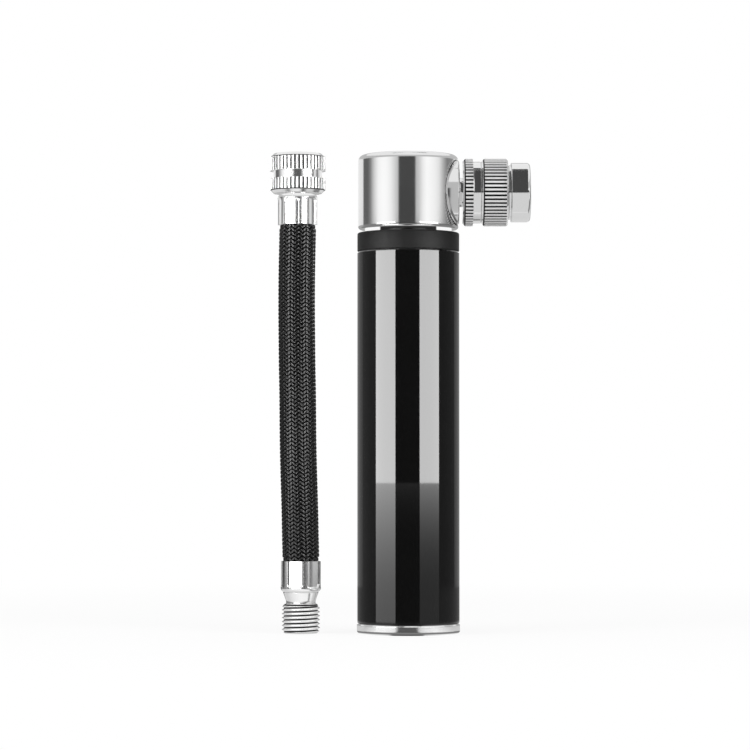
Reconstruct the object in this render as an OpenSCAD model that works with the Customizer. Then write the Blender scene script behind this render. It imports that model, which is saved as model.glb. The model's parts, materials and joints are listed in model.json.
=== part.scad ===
// Bicycle mini pump with its separate braided hose. Millimetres, +Z up.
// The origin is the centre of the pump's foot. The chuck points along +X at rest.

/* [Barrel] */
// Outside diameter of the barrel
barrel_d = 20.8; // [19.6:0.2:24]
// Wall of the barrel
barrel_wall = 1.2; // [0.8:0.1:1.4]
// Length of the barrel tube between base cap and collar
barrel_length = 75.7; // [60:0.1:100]
// Bevel on both ends of the barrel
barrel_bevel = 0.25; // [0.1:0.05:0.4]

/* [Base cap] */
// How far the cap's rim stands past the barrel's side
base_overhang = 0.1; // [0:0.05:0.5]
// Height of the rim below the barrel
base_h = 2; // [1.6:0.1:4]
// Rounding of the foot's edge
base_edge_r = 0.7; // [0.6:0.1:1.5]
// Length of the plug inside the barrel
base_plug_h = 5; // [4:0.2:8]
// Section of the base seal
base_seal_d = 1.2; // [0.8:0.1:1.6]

/* [Collar] */
// How far the collar's side lies inside the barrel's
collar_inset = 0; // [0:0.05:0.4]
// Height of the collar above the barrel
collar_h = 3.9; // [3:0.1:6]
// Rounding of the collar's top edge
collar_edge_r = 0.35; // [0.2:0.05:0.8]
// Length of the skirt inside the barrel
collar_skirt_h = 5; // [4:0.2:8]
// Thickness of the collar's top lip
collar_lip_h = 1.2; // [0.8:0.1:1.8]
// Wall of the rod bush
bush_wall = 1.2; // [0.9:0.1:1.4]
// Thickness of the snap ring below the bush
snap_ring_h = 0.7; // [0.5:0.1:1]

/* [Plunger] */
// Outside diameter of the plunger tube
rod_d = 11.4; // [10:0.2:12]
// Wall of the plunger tube
rod_wall = 1.2; // [0.8:0.1:1.5]
// Height of the piston's disc
piston_h = 4; // [3.6:0.2:6]
// Height of the piston's spigot inside the plunger tube
piston_spigot_h = 6; // [5.4:0.2:9]
// Thickness of the cup seal's base
cup_base_h = 1.6; // [1.2:0.1:2.4]
// Thickness of the cup seal's lip
cup_lip_w = 1.2; // [0.8:0.1:1.6]
// Height of the retainer's flange
retainer_h = 1.4; // [1:0.1:2.4]
// Section of the rubber end bumper
bumper_d = 2; // [1.4:0.1:2.4]
// Diameter of the check valve's ball
ball_d = 3.2; // [2.6:0.1:3.4]
// Wire of the check valve's spring
spring_wire_d = 0.34; // [0.24:0.02:0.4]
// Mean diameter of the spring's curls
spring_d = 2.2; // [1.8:0.1:2.4]
// Curls of the spring
spring_curls = 4; // [3:1:5]
// Length of the spring between the centres of its end wires
spring_h = 2.4; // [2.2:0.1:2.6]

/* [Head] */
// How far the head's side lies inside the collar's
head_inset = 0.15; // [0:0.05:0.5]
// Height of the head
head_h = 15.2; // [14.4:0.1:20]
// Gap between collar and head with the plunger down
head_gap = 0.7; // [0.4:0.1:2]
// Rounding of the head's top edge
head_top_r = 1.2; // [0.4:0.1:1.6]
// Rounding of the head's bottom edge
head_bottom_r = 0.6; // [0.3:0.1:1]
// Diameter of the round boss that carries the chuck
boss_d = 13.2; // [12:0.2:13.8]
// How far the boss stands past the head's side
boss_proud = 0.1; // [0.1:0.1:1]
// Bevel on the boss's face
boss_bevel = 0.25; // [0.1:0.05:0.5]
// Depth of the socket for the plunger tube
head_socket_h = 4.5; // [3.6:0.1:4.6]

/* [Chuck] */
// Diameter over the knurl
chuck_d = 13.8; // [13:0.1:15]
// Gap between the head's boss and the chuck
chuck_gap = 0.7; // [0.4:0.1:2]
// Width of the thin knurled ring
chuck_ring_w = 2.1; // [1.6:0.1:3]
// Width of the groove between the knurled rings
chuck_groove_w = 2.05; // [1.5:0.05:3]
// Diameter of that groove
chuck_groove_d = 12.6; // [12:0.1:12.8]
// Width of the wide knurled band
chuck_band_w = 5.05; // [4.4:0.05:8]
// Straight knurl teeth round the chuck
chuck_teeth = 54; // [40:1:60]
// Depth of the chuck's knurl
chuck_tooth_h = 0.2; // [0.15:0.05:0.4]
// Width of the undercut behind the nose
nose_step_w = 0.6; // [0.4:0.1:1]
// Length of the smooth nose
nose_w = 4; // [3:0.1:6]
// Diameter of the smooth nose
nose_d = 12.1; // [11.4:0.1:13]
// Rounding of the nose's edge
nose_edge_r = 0.7; // [0.3:0.1:1]
// Length of the nose's spigot inside the sleeve
nose_spigot_w = 2.75; // [2:0.05:2.75]
// Outside diameter of the outlet nipple
nipple_d = 5.9; // [5:0.1:6]
// Wall in the head between the plunger's socket and the nipple's thread
tap_wall = 0.4; // [0.4:0.1:1.2]
// Thickness of the flange that holds the chuck
nipple_flange_w = 2.4; // [2.2:0.1:2.4]
// Thickness of the chuck's back wall
chuck_wall_w = 1.5; // [1.1:0.1:1.6]
// Section of the nipple's seal
nipple_seal_d = 1; // [0.8:0.1:1.1]
// Outside diameter of the tyre valve's thread
valve_d = 7.7; // [7.4:0.1:8]

/* [Hose] */
// Distance of the hose from the pump's axis
hose_stand = 21.9; // [20:0.1:60]
// Length of the male thread
male_thread_h = 6; // [5:0.1:9]
// Height of the bare neck above the thread
male_neck_h = 2.4; // [1.6:0.1:4]
// Diameter of that neck at the ferrule
male_neck_d = 7.2; // [6:0.1:7.4]
// Diameter of the neck's waist at the thread
male_waist_d = 6; // [5:0.1:6.4]
// Height of the waist, below the neck's cone
male_waist_h = 0.7; // [0.3:0.1:1.4]
// Height of a crimped ferrule
ferrule_h = 6.3; // [5.6:0.1:9]
// Outside diameter of a ferrule
ferrule_d = 8.2; // [8:0.1:9]
// Wall of a ferrule's closed end
ferrule_end_h = 0.8; // [0.6:0.1:1.2]
// Depth of the crimp's flats below the round
crimp_depth = 0.4; // [0.2:0.05:0.45]
// Outside diameter of the braid
braid_d = 7.5; // [7:0.1:8]
// Thickness of the braid
braid_wall = 0.7; // [0.4:0.1:0.8]
// Diameter of the air way through the fittings
air_d = 2.2; // [1.6:0.1:2.4]
// Diameter over the knurl of the swivel nut
nut_d = 11.4; // [11:0.1:13]
// Diameter of the nut's groove
nut_groove_d = 9.9; // [9.7:0.1:10.2]
// Width of the nut's groove
nut_groove_h = 1.6; // [0.6:0.1:2]
// Height of the nut below its groove
nut_lower_h = 3; // [2.8:0.1:6]
// Height of the nut above its groove
nut_upper_h = 3.5; // [2.6:0.1:6]
// Bevel on the nut's ends
nut_bevel = 0.8; // [0.3:0.1:0.9]
// Straight knurl teeth round the nut
nut_teeth = 42; // [30:1:46]
// Depth of the nut's knurl
nut_tooth_h = 0.25; // [0.15:0.05:0.4]
// Thickness of the nut's inner lip
nut_lip_h = 1.2; // [0.9:0.1:1.4]
// Diameter of the tail's neck through that lip
tail_neck_d = 5.8; // [5:0.1:6.2]

/* [Clearance] */
// Radial clearance between pieces that turn or slide on each other
run_gap = 0.05; // [0.03:0.01:0.08]
// Clearance between pieces that stay fixed to each other
fit_gap = 0.05; // [0.03:0.01:0.08]
// Free space below the piston at the end of its stroke
foot_gap = 0.6; // [0.3:0.1:1.5]
// Air gap round the rod in the collar's lip
vent_gap = 0.3; // [0.2:0.05:0.5]
// Play between the hose and the pieces that end it
hose_gap = 0.1; // [0.05:0.05:0.2]

/* [Hidden] */
$fn = 96;
// How far a cut reaches past the face that it opens
over = 0.5;

// Heights of the barrel, collar and head
barrel_top = base_h + barrel_length;
collar_top = barrel_top + collar_h;
skirt_z = barrel_top - collar_skirt_h;
lip_z = collar_top - collar_lip_h;
head_z = collar_top + head_gap;
head_top = head_z + head_h;
socket_top = head_z + head_socket_h;
outlet_z = head_z + head_h / 2;

// Radii that follow the barrel's outside
barrel_r = barrel_d / 2;
base_r = barrel_r + base_overhang;
collar_r = barrel_r - collar_inset;
head_r = collar_r - head_inset;

// Radii that share the barrel's bore
bore_r = barrel_r - barrel_wall;
plug_r = bore_r - fit_gap;
cup_r = bore_r - run_gap;
piston_play = 0.2;
piston_r = bore_r - piston_play;
rod_r = rod_d / 2;
rod_bore_r = rod_r - rod_wall;
bush_r = rod_r + run_gap + bush_wall;
bush_seat_r = bush_r + run_gap;
snap_groove_depth = 0.5;
snap_play = 0.6;
snap_inset = 0.3;
snap_groove_z = skirt_z + snap_inset;
bush_z = snap_groove_z + snap_ring_h + run_gap;
snap_opening = 40;
bush_vent_r = 0.5;
bush_vents = 4;

// Seals: a groove is a little wider than its ring
seal_room = 0.15;
base_seal_r = bore_r - run_gap - base_seal_d / 2;
base_seal_z = base_h + base_plug_h / 2;
plug_bevel = 0.5;
head_seal_d = 1;
head_seal_r = rod_r + fit_gap + head_seal_d / 2;
head_seal_z = head_z + head_socket_h / 2;

// Piston stack, from the retainer's face upwards
retainer_z = base_h + base_plug_h + foot_gap;
cup_z = retainer_z + retainer_h;
piston_z = cup_z + cup_base_h;
piston_top = piston_z + piston_h;
cup_lip_inset = 0.3;
cup_lip_r = cup_r - cup_lip_w;
cup_flare = 0.3;
retainer_play = 0.6;
retainer_r = cup_lip_r - retainer_play;
shank_r = 3.2;
shank_h = 3;
seat_z = piston_z + shank_h;
seat_hole_r = 1;
seat_gap = 0.03;
ball_r = ball_d / 2;
ball_z = seat_z + sqrt(pow(ball_r + seat_gap, 2) - pow(seat_hole_r, 2));
ball_play = 0.6;
chamber_r = ball_r + ball_play;
wire_r = spring_wire_d / 2;
coil_r = spring_d / 2;
spring_z = ball_z + sqrt(pow(ball_r + wire_r + seat_gap, 2) - pow(coil_r, 2));
spring_seat_z = spring_z + spring_h + wire_r + seat_gap;
rod_vent_r = 1.2;
bumper_ring_r = rod_r + fit_gap + bumper_d / 2;
bumper_z = piston_top + fit_gap + bumper_d / 2;

// The outlet, from the head's axis along +X
boss_face = head_r + boss_proud;
tap_x = rod_r + fit_gap + tap_wall;
boss_root_inset = 1;
boss_root_x = tap_x - boss_root_inset;
nipple_r = nipple_d / 2;
outlet_bore_r = 1.75;
head_chamber_r = 3;
chuck_x = boss_face + chuck_gap;
chuck_ring_end = chuck_x + chuck_ring_w;
chuck_groove_end = chuck_ring_end + chuck_groove_w;
sleeve_end = chuck_groove_end + chuck_band_w;
nose_x = sleeve_end + nose_step_w;
nose_end = nose_x + nose_w;
chuck_r = chuck_d / 2;
cavity_r = 4.9;
cavity_x = chuck_x + chuck_wall_w;
chuck_bevel = 0.6;
band_bevel = 0.3;
flange_x = cavity_x + 2 * run_gap;
flange_end = flange_x + nipple_flange_w;
flange_play = 0.2;
flange_r = cavity_r - flange_play;
nipple_seal_r = cavity_r - run_gap - nipple_seal_d / 2;
nipple_bore_r = 1.3;
key_flats = 3;
key_depth = 1;
spigot_x = sleeve_end - nose_spigot_w;
gasket_x = flange_end + 2 * fit_gap;
gasket_end = spigot_x - fit_gap;
gasket_hole_r = 1.9;
valve_bore_r = valve_d / 2 + fit_gap;
mouth_bevel = 0.5;
nose_step_depth = 0.5;
nose_root_r = nose_d / 2 - nose_step_depth;
nose_bevel = 0.2;

// A knurl groove's width at its root and at the crests, as shares of the tooth pitch
knurl_root_share = 0.1;
knurl_top_share = 0.55;

// A valve depressor: a drilled disc with a pin
pin_r = 0.55;
pin_disc_h = 0.8;
pin_inset = 0.1;
pin_holes = 3;
pin_hole_r = 0.35;

// The hose's route above the mouth of the lower ferrule, from inside it to inside the upper one
hose_route = [
    [0, 0, -5.2], [0, 0, 0], [0, 0, 0.4], [-0.1, 0.05, 5], [-0.2, 0.1, 10], [-0.35, 0.2, 15],
    [-0.5, 0.25, 20], [-0.6, 0.3, 25], [-0.65, 0.3, 30], [-0.7, 0.3, 35], [-0.8, 0.25, 40],
    [-0.85, 0.2, 45], [-0.9, 0.15, 50], [-0.9, 0.1, 55], [-0.85, 0.05, 60], [-0.75, 0, 65],
    [-0.7, 0, 68.2], [-0.7, 0, 68.6], [-0.7, 0, 73.8]
];
hose_sides = 12;
route_end = len(hose_route) - 1;
hose_depth = -hose_route[0].z;
lower_mouth_z = male_thread_h + male_neck_h + ferrule_h;
lower_ferrule_z = lower_mouth_z - ferrule_h;
upper_mouth_z = lower_mouth_z + hose_route[route_end - 1].z;
upper_ferrule_top = upper_mouth_z + ferrule_h;
upper_shift = hose_route[route_end].x;
braid_r = braid_d / 2;
braid_bore_r = braid_r - braid_wall;
liner_gap = 0.05;
ferrule_r = ferrule_d / 2;
crimp_flat = ferrule_r - crimp_depth;
ferrule_wall = 0.3;
ferrule_bore_r = crimp_flat - ferrule_wall;
crimp_half_w = sqrt(pow(ferrule_r, 2) - pow(crimp_flat, 2));
crimp_shoulder = 1;
crimp_corner_r = 0.7;
crimp_flats = 6;
crimp_turn = 14;
ferrule_edge_r = 0.9;
squeezed_r = ferrule_bore_r - hose_gap;
squeezed_braid_wall = 0.6;
squeezed_bore_r = squeezed_r - squeezed_braid_wall;
liner_bore_r = 2.1;
barb_r = 1.98;
barb_root_r = 1.75;
barb_count = 3;
barb_hole_r = barb_r + fit_gap;
air_r = air_d / 2;
thread_bevel = 0.6;

// The swivel nut and the tail that it turns on
nut_z = upper_ferrule_top + hose_gap;
nut_groove_z = nut_z + nut_lower_h;
nut_upper_z = nut_groove_z + nut_groove_h;
nut_top = nut_upper_z + nut_upper_h;
nut_r = nut_d / 2;
nut_lip_top = nut_z + nut_lip_h;
tail_neck_r = tail_neck_d / 2;
tail_flange_z = nut_lip_top + 2 * run_gap;
tail_flange_h = 1;
tail_flange_play = 0.15;
tail_flange_r = valve_bore_r - tail_flange_play;
nut_gasket_z = tail_flange_z + tail_flange_h + fit_gap;
nut_gasket_h = 1.4;
nut_undercut_depth = 0.3;
nut_undercut_r = valve_bore_r + nut_undercut_depth;
nut_gasket_hole_r = 1.5;
nut_undercut_top = nut_gasket_z + nut_gasket_h + fit_gap;

// A rectangle of a turned profile, between two radii and two heights
module band(r0, r1, z0, z1)
    translate([r0, z0])
        square([r1 - r0, z1 - z0]);

// What rounding takes off a profile's corner; sx and sz point out of the corner
module corner_round(x, z, r, sx, sz)
    translate([x - sx * r, z - sz * r])
        difference() {
            translate([sx > 0 ? 0 : -r - over, sz > 0 ? 0 : -r - over])
                square(r + over);
            circle(r);
        }

// What a bevel takes off a profile's corner
module corner_bevel(x, z, c, sx, sz)
    polygon([
        [x + sx * over, z - sz * (c + over)],
        [x + sx * over, z + sz * over],
        [x - sx * (c + over), z + sz * over]
    ]);

// A rubber ring of round section
module o_ring(ring_r, section_d, z)
    translate([0, 0, z])
        rotate_extrude()
            translate([ring_r, 0])
                circle(d = section_d);

// Turns a piece that is drawn upwards so that it lies along the outlet
module along_outlet()
    translate([0, 0, outlet_z])
        rotate([0, 90, 0])
            children();

// Straight knurl grooves, from height z0 to z1 on a round of radius r
module knurl_grooves(r, teeth, depth, z0, z1) {
    pitch = 360 / teeth;
    tooth = 2 * r * sin(pitch / 2);
    root_half = tooth * knurl_root_share / 2;
    top_half = tooth * knurl_top_share / 2;
    slope = (top_half - root_half) / depth;
    for (i = [0:teeth - 1])
        rotate([0, 0, i * pitch])
            translate([r, 0, z0])
                linear_extrude(z1 - z0)
                    polygon([
                        [-depth, -root_half],
                        [over, -top_half - slope * over],
                        [over, top_half + slope * over],
                        [-depth, root_half]
                    ]);
}

// A barbed stem that grips a hose, with its barbs from z0 up to z1; dir is 1 where the tip is up
module barb_profile(z0, z1, dir) {
    step = (z1 - z0) / barb_count;
    points = [for (i = [0:barb_count - 1])
        for (p = dir > 0
            ? [[barb_r, z0 + i * step], [barb_root_r, z0 + (i + 1) * step]]
            : [[barb_root_r, z0 + i * step], [barb_r, z0 + (i + 1) * step]]) p];
    polygon(concat([[0, z0]], points, [[0, z1]]));
}

// A crimped sleeve, closed at the bottom but for the stem's hole, with flats from its mouth down
module ferrule() {
    difference() {
        rotate_extrude()
            difference() {
                band(barb_hole_r, ferrule_r, 0, ferrule_h);
                band(0, ferrule_bore_r, ferrule_end_h, ferrule_h + over);
                corner_round(ferrule_r, 0, ferrule_edge_r, 1, -1);
            }
        for (i = [0:crimp_flats - 1])
            rotate([0, 0, crimp_turn + i * 360 / crimp_flats])
                translate([crimp_flat, 0, 0])
                    rotate([90, 0, 90])
                        linear_extrude(crimp_depth + over)
                            crimp_flat_outline();
    }
}

// The mark of one press jaw, with round corners towards the closed end
module crimp_flat_outline()
    difference() {
        band(-crimp_half_w, crimp_half_w, crimp_shoulder, ferrule_h + over);
        corner_round(crimp_half_w, crimp_shoulder, crimp_corner_r, 1, -1);
        corner_round(-crimp_half_w, crimp_shoulder, crimp_corner_r, -1, -1);
    }

// A tube along the hose's route, between two lists of radii, one of each for every ring
module route_tube(outer, inner) {
    n = hose_sides;
    rings = len(hose_route);
    shells = [outer, inner];
    points = [for (shell = shells) for (i = [0:rings - 1]) for (j = [0:n - 1])
        [
            hose_route[i].x + shell[i] * cos(j * 360 / n),
            hose_route[i].y + shell[i] * sin(j * 360 / n),
            hose_route[i].z
        ]];
    function at(shell, i, j) = (shell * rings + i) * n + j % n;
    walls = [for (i = [0:rings - 2]) for (j = [0:n - 1]) for (f = [
        [at(0, i, j), at(0, i + 1, j), at(0, i + 1, j + 1)],
        [at(0, i, j), at(0, i + 1, j + 1), at(0, i, j + 1)],
        [at(1, i, j), at(1, i, j + 1), at(1, i + 1, j + 1)],
        [at(1, i, j), at(1, i + 1, j + 1), at(1, i + 1, j)]
    ]) f];
    last = rings - 1;
    ends = [for (j = [0:n - 1]) for (f = [
        [at(0, 0, j), at(0, 0, j + 1), at(1, 0, j + 1)],
        [at(0, 0, j), at(1, 0, j + 1), at(1, 0, j)],
        [at(0, last, j), at(1, last, j), at(1, last, j + 1)],
        [at(0, last, j), at(1, last, j + 1), at(0, last, j + 1)]
    ]) f];
    polyhedron(points, concat(walls, ends), convexity = 6);
}

// One radius for each ring of the route: squeezed inside the two ferrules, free between them
function route_radii(free, squeezed) =
    [for (i = [0:route_end]) i < 2 || i > route_end - 2 ? squeezed : free];

// Puts a piece of the hose where the hose stands
module at_hose(shift = 0, z = 0)
    translate([-hose_stand + shift, 0, z])
        children();

// A drilled disc with a pin that opens the tyre valve
module depressor(disc_r, z0, z1) {
    difference() {
        translate([0, 0, z0])
            cylinder(r = disc_r, h = pin_disc_h);
        for (i = [0:pin_holes - 1])
            rotate([0, 0, i * 360 / pin_holes])
                translate([(disc_r + pin_r) / 2, 0, z0 - over])
                    cylinder(r = pin_hole_r, h = pin_disc_h + 2 * over);
    }
    translate([0, 0, z0])
        cylinder(r = pin_r, h = z1 - z0);
}

module base_cap() {
    edge_r = min(base_edge_r, base_h - barrel_bevel);
    groove_half = base_seal_d / 2 + seal_room;
    groove_r = base_seal_r - base_seal_d / 2 - fit_gap;
    plug_top = base_h + base_plug_h;
    color("silver")
        rotate_extrude()
            difference() {
                union() {
                    band(0, base_r, 0, base_h);
                    band(0, plug_r, base_h - over, plug_top);
                }
                corner_round(base_r, 0, edge_r, 1, -1);
                corner_bevel(base_r, base_h, barrel_bevel, 1, 1);
                corner_bevel(plug_r, plug_top, plug_bevel, 1, 1);
                band(groove_r, plug_r + over, base_seal_z - groove_half, base_seal_z + groove_half);
            }
}

module base_cap_o_ring()
    color("#202020")
        o_ring(base_seal_r, base_seal_d, base_seal_z);

module barrel_tube()
    color("#101012")
        rotate_extrude()
            difference() {
                band(bore_r, barrel_r, base_h, barrel_top);
                corner_bevel(barrel_r, base_h, barrel_bevel, 1, -1);
                corner_bevel(barrel_r, barrel_top, barrel_bevel, 1, 1);
            }

module collar() {
    snap_r = bush_seat_r + snap_groove_depth;
    color("#2a2a2c")
        rotate_extrude()
            difference() {
                union() {
                    band(rod_r + vent_gap, collar_r, barrel_top, collar_top);
                    band(bush_seat_r, plug_r, skirt_z, barrel_top + over);
                }
                band(0, bush_seat_r, skirt_z - over, lip_z);
                band(0, snap_r, snap_groove_z, snap_groove_z + snap_ring_h);
                corner_round(collar_r, collar_top, collar_edge_r, 1, 1);
                corner_bevel(collar_r, barrel_top, barrel_bevel, 1, -1);
            }
}

module rod_bush() {
    bush_h = lip_z - run_gap - bush_z;
    color("ivory")
        difference() {
            translate([0, 0, bush_z])
                rotate_extrude()
                    band(rod_r + run_gap, bush_r, 0, bush_h);
            for (i = [0:bush_vents - 1])
                rotate([0, 0, i * 360 / bush_vents])
                    translate([bush_r, 0, bush_z - over])
                        cylinder(r = bush_vent_r, h = bush_h + 2 * over);
        }
}

module bush_snap_ring() {
    outer_r = bush_seat_r + snap_groove_depth - fit_gap;
    color("silver")
        translate([0, 0, snap_groove_z + fit_gap])
            rotate([0, 0, snap_opening / 2])
                rotate_extrude(angle = 360 - snap_opening)
                    band(rod_r + snap_play, outer_r, 0, snap_ring_h - 2 * fit_gap);
}

module plunger_tube()
    color("#18181a")
        rotate_extrude()
            band(rod_bore_r, rod_r, piston_top, socket_top);

module piston() {
    spigot_top = piston_top + piston_spigot_h;
    color("#3a3a3c")
        rotate_extrude()
            difference() {
                union() {
                    band(0, piston_r, piston_z, piston_top);
                    band(0, rod_bore_r - fit_gap, piston_top - over, spigot_top);
                }
                band(0, shank_r + fit_gap, piston_z - over, seat_z + fit_gap);
                band(0, chamber_r, seat_z - over, spring_seat_z);
                band(0, rod_vent_r, seat_z, spigot_top + over);
                corner_bevel(piston_r, piston_top, plug_bevel, 1, 1);
            }
}

// A cup with its lip towards the foot, so that pressure spreads it against the barrel
module piston_cup_seal()
    color("#262626")
        rotate_extrude()
            polygon([
                [shank_r + fit_gap, cup_z],
                [cup_lip_r, cup_z],
                [cup_lip_r + cup_flare, retainer_z + cup_lip_inset],
                [cup_r, retainer_z + cup_lip_inset],
                [cup_r, piston_z],
                [shank_r + fit_gap, piston_z]
            ]);

// The screw that holds the cup; its drilled end is the seat of the check ball
module piston_retainer()
    color("goldenrod")
        rotate_extrude()
            difference() {
                union() {
                    band(0, retainer_r, retainer_z, cup_z);
                    band(0, shank_r, cup_z - over, seat_z);
                }
                band(0, seat_hole_r, retainer_z - over, seat_z + over);
                corner_bevel(retainer_r, retainer_z, plug_bevel, 1, -1);
            }

module end_bumper()
    color("#303030")
        o_ring(bumper_ring_r, bumper_d, bumper_z);

module check_ball()
    color("lightgray")
        translate([0, 0, ball_z])
            sphere(r = ball_r);

// A spring of round wire, with rings of wire square to its helix
module check_spring() {
    sides = 6;
    steps = 8 * spring_curls;
    turn = 360 * spring_curls / steps;
    rise = spring_h / steps;
    points = [for (i = [0:steps]) for (j = [0:sides - 1])
        let (a = i * turn, b = j * 360 / sides, r = coil_r + wire_r * cos(b))
        [r * cos(a), r * sin(a), spring_z + i * rise + wire_r * sin(b)]];
    function at(i, j) = i * sides + j % sides;
    walls = [for (i = [0:steps - 1]) for (j = [0:sides - 1]) for (f = [
        [at(i, j), at(i, j + 1), at(i + 1, j + 1)],
        [at(i, j), at(i + 1, j + 1), at(i + 1, j)]
    ]) f];
    first = [for (j = [1:sides - 2]) [at(0, 0), at(0, j + 1), at(0, j)]];
    last = [for (j = [1:sides - 2]) [at(steps, 0), at(steps, j), at(steps, j + 1)]];
    echo(spring_gap = spring_h / spring_curls - spring_wire_d);
    color("silver")
        polyhedron(points, concat(walls, first, last), convexity = 8);
}

module pump_head() {
    groove_half = head_seal_d / 2 + seal_room;
    groove_r = head_seal_r + head_seal_d / 2 + fit_gap;
    boss_r = boss_d / 2;
    color("silver")
        difference() {
            union() {
                rotate_extrude()
                    difference() {
                        band(0, head_r, head_z, head_top);
                        corner_round(head_r, head_top, head_top_r, 1, 1);
                        corner_round(head_r, head_z, head_bottom_r, 1, -1);
                    }
                along_outlet()
                    rotate_extrude()
                        difference() {
                            band(0, boss_r, boss_root_x, boss_face);
                            corner_bevel(boss_r, boss_face, boss_bevel, 1, 1);
                        }
            }
            rotate_extrude() {
                band(0, rod_r + fit_gap, head_z - over, socket_top);
                band(0, groove_r, head_seal_z - groove_half, head_seal_z + groove_half);
                band(0, head_chamber_r, socket_top - over, outlet_z);
            }
            along_outlet()
                rotate_extrude() {
                    band(0, outlet_bore_r, 0, tap_x + over);
                    band(0, nipple_r + fit_gap, tap_x, boss_face + over);
                }
        }
}

module head_o_ring()
    color("#202020")
        o_ring(head_seal_r, head_seal_d, head_seal_z);

// A hollow screw: its shank holds in the head and its flange keeps the chuck on, free to turn
module outlet_nipple() {
    groove_half = nipple_seal_d / 2 + seal_room;
    groove_mid = (flange_x + flange_end) / 2;
    groove_r = nipple_seal_r - nipple_seal_d / 2 - fit_gap;
    key_r = key_flats / 2 / cos(30);
    color("silver")
        along_outlet()
            difference() {
                rotate_extrude()
                    difference() {
                        union() {
                            band(nipple_bore_r, nipple_r, tap_x + fit_gap, flange_end);
                            band(nipple_bore_r, flange_r, flange_x, flange_end);
                        }
                        band(groove_r, flange_r + over, groove_mid - groove_half, groove_mid + groove_half);
                    }
                translate([0, 0, flange_end - key_depth])
                    cylinder(r = key_r, h = key_depth + over, $fn = 6);
            }
}

module nipple_o_ring()
    color("#202020")
        along_outlet()
            o_ring(nipple_seal_r, nipple_seal_d, (flange_x + flange_end) / 2);

module chuck_sleeve()
    color("silver")
        along_outlet()
            difference() {
                rotate_extrude()
                    difference() {
                        band(nipple_r + run_gap, chuck_r, chuck_x, sleeve_end);
                        band(0, cavity_r, cavity_x, sleeve_end + over);
                        band(chuck_groove_d / 2, chuck_r + over, chuck_ring_end, chuck_groove_end);
                        corner_bevel(chuck_r, chuck_x, chuck_bevel, 1, -1);
                        corner_bevel(chuck_r, chuck_groove_end, band_bevel, 1, -1);
                        corner_bevel(chuck_r, sleeve_end, band_bevel, 1, 1);
                    }
                knurl_grooves(chuck_r, chuck_teeth, chuck_tooth_h, chuck_x - over, sleeve_end + over);
            }

// The screwed-in nose that clamps the gasket and takes the valve's thread
module chuck_nose() {
    r = nose_d / 2;
    color("silver")
        along_outlet()
            rotate_extrude()
                difference() {
                    union() {
                        band(valve_bore_r, cavity_r - fit_gap, spigot_x, sleeve_end + over);
                        band(valve_bore_r, nose_root_r, sleeve_end, nose_x + over);
                        band(valve_bore_r, r, nose_x, nose_end);
                    }
                    corner_round(r, nose_end, nose_edge_r, 1, 1);
                    corner_bevel(r, nose_x, nose_bevel, 1, -1);
                    corner_bevel(valve_bore_r, nose_end, mouth_bevel, -1, 1);
                }
}

module chuck_gasket()
    color("#1c1c1c")
        along_outlet()
            rotate_extrude()
                band(gasket_hole_r, cavity_r - fit_gap, gasket_x, gasket_end);

module valve_depressor()
    color("goldenrod")
        along_outlet()
            depressor(gasket_hole_r - fit_gap, gasket_x, gasket_end - pin_inset);

module hose_male_fitting() {
    r = valve_d / 2;
    waist_r = male_waist_d / 2;
    barb_top = lower_mouth_z - hose_gap;
    color("silver")
        at_hose()
            rotate_extrude()
                difference() {
                    union() {
                        band(0, r, 0, male_thread_h);
                        polygon([
                            [0, male_thread_h - over],
                            [waist_r, male_thread_h - over],
                            [waist_r, male_thread_h + male_waist_h],
                            [male_neck_d / 2, lower_ferrule_z],
                            [0, lower_ferrule_z]
                        ]);
                        band(0, barb_r, lower_ferrule_z - over, lower_ferrule_z + ferrule_end_h);
                        barb_profile(lower_ferrule_z + ferrule_end_h, barb_top, 1);
                    }
                    band(0, air_r, -over, barb_top + over);
                    corner_bevel(r, 0, thread_bevel, 1, -1);
                    corner_bevel(r, male_thread_h, thread_bevel, 1, 1);
                }
}

module lower_ferrule()
    color("gainsboro")
        at_hose(0, lower_ferrule_z)
            ferrule();

module hose_liner()
    color("#1a1a1a")
        at_hose(0, lower_mouth_z)
            route_tube(
                route_radii(braid_bore_r - liner_gap, squeezed_bore_r - liner_gap),
                route_radii(liner_bore_r, liner_bore_r)
            );

module hose_braid()
    color("#242426")
        at_hose(0, lower_mouth_z)
            route_tube(
                route_radii(braid_r, squeezed_r),
                route_radii(braid_bore_r, squeezed_bore_r)
            );

module upper_ferrule()
    color("gainsboro")
        at_hose(upper_shift, upper_ferrule_top)
            mirror([0, 0, 1])
                ferrule();

// The stem that the nut turns on: barbs in the hose, a neck through the nut's lip and a flange above it
module hose_tail() {
    barb_foot = upper_mouth_z + hose_gap;
    flange_top = tail_flange_z + tail_flange_h;
    color("silver")
        at_hose(upper_shift)
            rotate_extrude()
                difference() {
                    union() {
                        barb_profile(barb_foot, upper_ferrule_top - ferrule_end_h, -1);
                        band(0, barb_r, upper_ferrule_top - ferrule_end_h, upper_ferrule_top + over);
                        band(0, tail_neck_r, upper_ferrule_top, flange_top);
                        band(0, tail_flange_r, tail_flange_z, flange_top);
                    }
                    band(0, air_r, barb_foot - over, flange_top + over);
                }
}

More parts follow.
